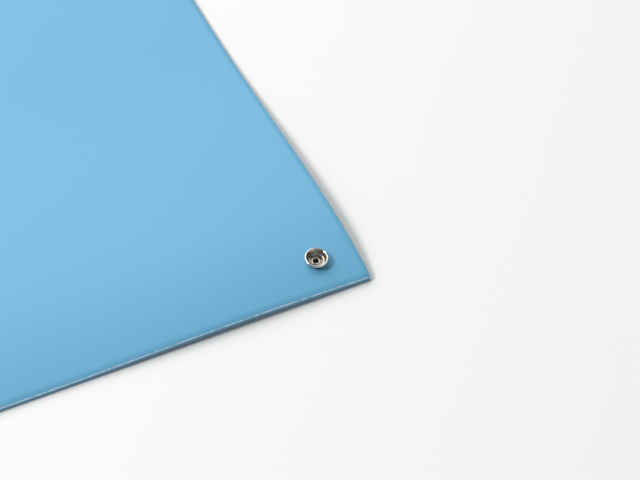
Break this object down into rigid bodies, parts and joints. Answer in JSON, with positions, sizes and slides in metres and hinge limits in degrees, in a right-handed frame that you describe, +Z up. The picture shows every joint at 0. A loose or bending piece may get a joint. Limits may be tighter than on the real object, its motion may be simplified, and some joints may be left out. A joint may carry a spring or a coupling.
{
  "type": "anti static bench mat",
  "caption": "Flat rectangular vinyl sheet for a bench top, one end slightly curled from the roll, with a riveted metal press stud socket near one corner.",
  "frame": {"origin": "centre of the mat in plan, on the level surface it lies on", "axes": "+X across the mat, +Y along it away from the end with the press stud, +Z up out of the working face"},
  "size_m": [0.6, 1.2, 0.0135],
  "materials": {
    "blue_vinyl": "matt, smooth, light blue",
    "nickel_plate": "bright nickel plate on pressed brass",
    "nickel_plate_worn": "nickel plate, slightly dull inside"
  },
  "bodies": {
    "root": {"mat_sheet": "blue_vinyl", "snap_socket": "nickel_plate", "snap_eyelet": "nickel_plate_worn"}
  },
  "joints": []
}
